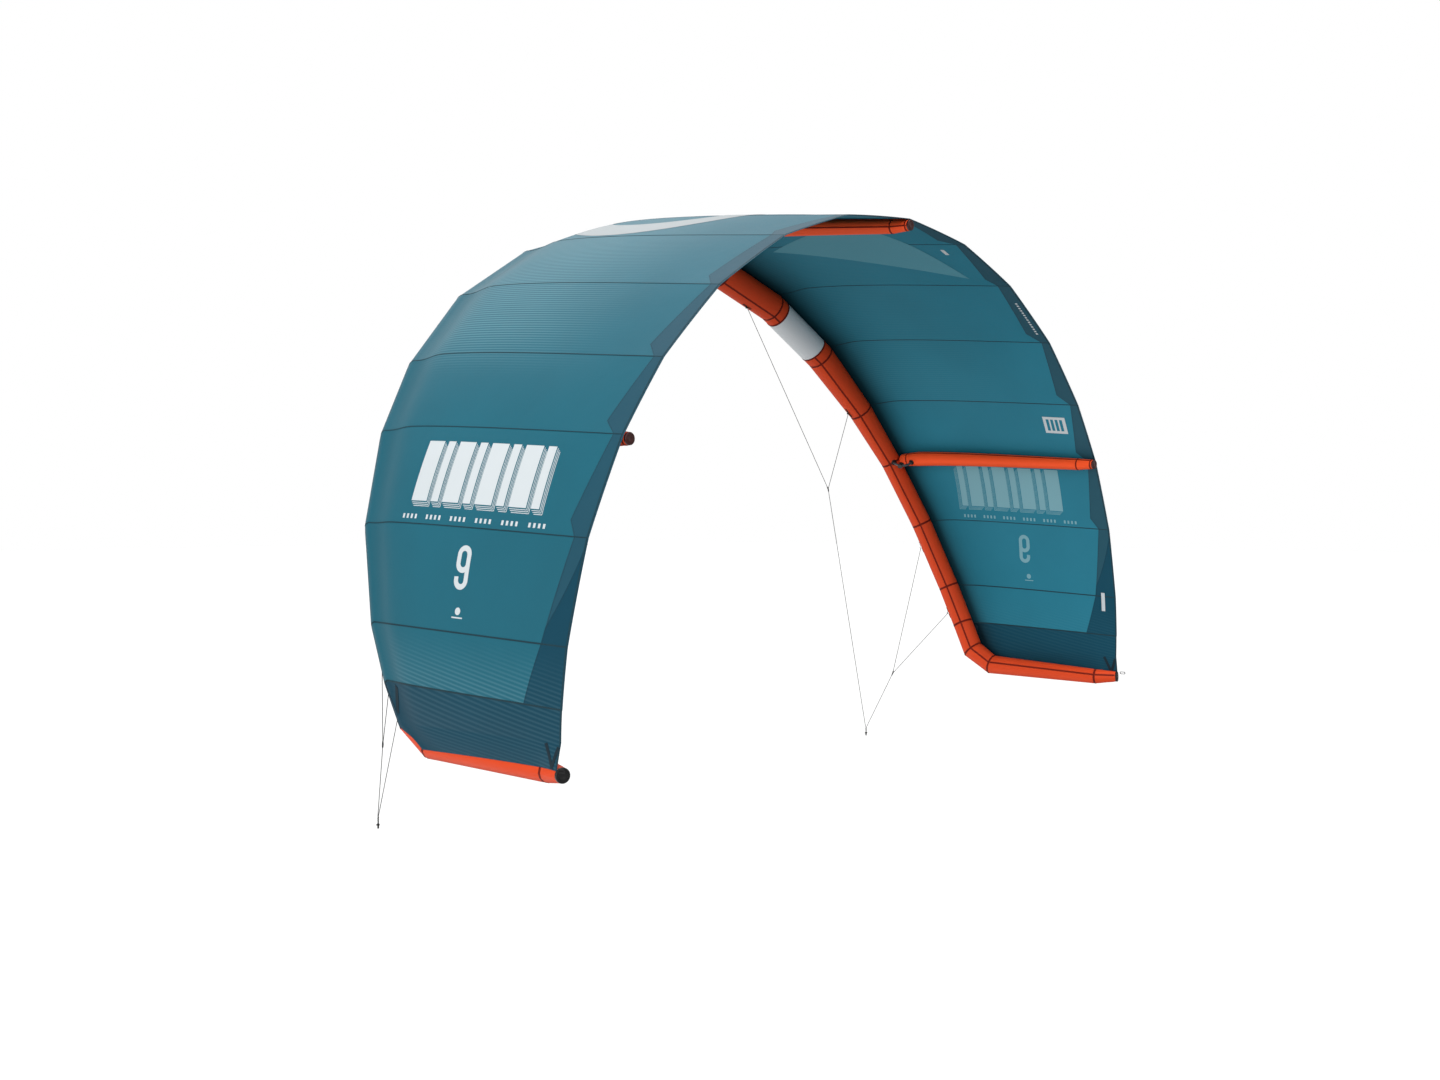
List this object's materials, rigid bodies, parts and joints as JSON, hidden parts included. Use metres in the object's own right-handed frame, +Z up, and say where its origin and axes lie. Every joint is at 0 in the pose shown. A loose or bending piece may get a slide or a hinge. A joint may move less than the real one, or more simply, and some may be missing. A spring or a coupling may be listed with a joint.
{
  "type": "kitesurf kite",
  "caption": "Leading-edge inflatable kite with a tapered inflatable arch, struts, a panelled canopy and bridles that end in knotted pigtails.",
  "frame": {"origin": "the middle of the trailing edge, on the seam over the centre strut; the kite is held up in flight there", "axes": "+Z up, X along the span with the inflation valve on the -X side, +Y from the trailing edge to the leading edge"},
  "size_m": [4.2634, 1.623, 2.791],
  "materials": {
    "canopy_teal": "matte",
    "canopy_slate": "matte",
    "canopy_navy": "matte",
    "sleeve_orange": "matte",
    "sleeve_white": "matte",
    "bladder_film": "satin",
    "cap_black": "satin",
    "hose_grey": "matte",
    "bridle_line": "matte",
    "webbing_black": "matte"
  },
  "bodies": {
    "kite": {"le_sleeve_center": "sleeve_orange", "le_sleeve_left": "sleeve_orange", "le_sleeve_right": "sleeve_orange", "le_white_band_left": "sleeve_white", "le_white_band_right": "sleeve_white", "le_bladder": "bladder_film", "wingtip_cap_left": "cap_black", "wingtip_cap_right": "cap_black", "canopy_panel_left_1": "canopy_teal", "canopy_panel_left_2": "canopy_teal", "canopy_panel_left_3": "canopy_teal", "canopy_panel_left_4": "canopy_teal", "canopy_panel_left_5": "canopy_teal", "canopy_panel_left_6": "canopy_teal", "canopy_panel_left_7": "canopy_teal", "canopy_panel_left_8": "canopy_teal", "canopy_panel_left_9": "canopy_navy", "canopy_panel_right_1": "canopy_teal", "canopy_panel_right_2": "canopy_teal", "canopy_panel_right_3": "canopy_teal", "canopy_panel_right_4": "canopy_teal", "canopy_panel_right_5": "canopy_teal", "canopy_panel_right_6": "canopy_teal", "canopy_panel_right_7": "canopy_teal", "canopy_panel_right_8": "canopy_teal", "canopy_panel_right_9": "canopy_navy", "trailing_edge_band": "canopy_slate", "strut_sleeve_center": "sleeve_orange", "strut_bladder_center": "bladder_film", "strut_end_cap_center": "cap_black", "inflation_hose_center": "hose_grey", "hose_clip_base_center": "cap_black", "strut_sleeve_left": "sleeve_orange", "strut_bladder_left": "bladder_film", "strut_end_cap_left": "cap_black", "inflation_hose_left": "hose_grey", "hose_clip_base_left": "cap_black", "strut_sleeve_right": "sleeve_orange", "strut_bladder_right": "bladder_film", "strut_end_cap_right": "cap_black", "inflation_hose_right": "hose_grey", "hose_clip_base_right": "cap_black", "inflation_valve_body": "cap_black", "bridle_front_main_left": "bridle_line", "bridle_front_branch_left": "bridle_line", "bridle_rear_main_left": "bridle_line", "bridle_rear_branch_left": "bridle_line", "bridle_front_main_right": "bridle_line", "bridle_front_branch_right": "bridle_line", "bridle_rear_main_right": "bridle_line", "bridle_rear_branch_right": "bridle_line"},
    "valve_cap": {"inflation_valve_cap": "cap_black"},
    "hose_clip_lever_center": {"hose_clip_lever_center": "cap_black"},
    "hose_clip_lever_left": {"hose_clip_lever_left": "cap_black"},
    "hose_clip_lever_right": {"hose_clip_lever_right": "cap_black"},
    "pigtail_left": {"pigtail_left": "bridle_line"},
    "rear_loop_left": {"rear_loop_left": "webbing_black"},
    "pigtail_right": {"pigtail_right": "bridle_line"},
    "rear_loop_right": {"rear_loop_right": "webbing_black"}
  },
  "joints": [
    {"name": "valve_cap_hinge", "type": "hinge", "parent": "kite", "child": "valve_cap", "pos_m": [-0.26802, 1.48925, -0.09048], "axis": [0.9956, 0.0541, 0.0769], "range_deg": [0, 150]},
    {"name": "hose_clip_center", "type": "hinge", "parent": "kite", "child": "hose_clip_lever_center", "pos_m": [0, 1.41452, -0.0406], "axis": [1, 0, 0], "range_deg": [0, 80]},
    {"name": "hose_clip_left", "type": "hinge", "parent": "kite", "child": "hose_clip_lever_left", "pos_m": [-1.74284, 1.24082, -1.03024], "axis": [0.4971, -0.2014, 0.844], "range_deg": [0, 80]},
    {"name": "hose_clip_right", "type": "hinge", "parent": "kite", "child": "hose_clip_lever_right", "pos_m": [1.74284, 1.24082, -1.03024], "axis": [0.4971, 0.2014, -0.844], "range_deg": [0, 80]},
    {"name": "pigtail_swing_left", "type": "hinge", "parent": "kite", "child": "pigtail_left", "pos_m": [-1.784, 1.496, -2.602], "axis": [0, 1, 0], "range_deg": [-45, 45]},
    {"name": "pigtail_swing_right", "type": "hinge", "parent": "kite", "child": "pigtail_right", "pos_m": [1.784, 1.496, -2.602], "axis": [0, 1, 0], "range_deg": [-45, 45]},
    {"name": "rear_loop_swing_left", "type": "hinge", "parent": "kite", "child": "rear_loop_left", "pos_m": [-2.12339, 0.015, -2.19822], "axis": [0, 0, -1], "range_deg": [0, 75]},
    {"name": "rear_loop_swing_right", "type": "hinge", "parent": "kite", "child": "rear_loop_right", "pos_m": [2.12339, 0.015, -2.19822], "axis": [0, 0, 1], "range_deg": [0, 75]}
  ]
}
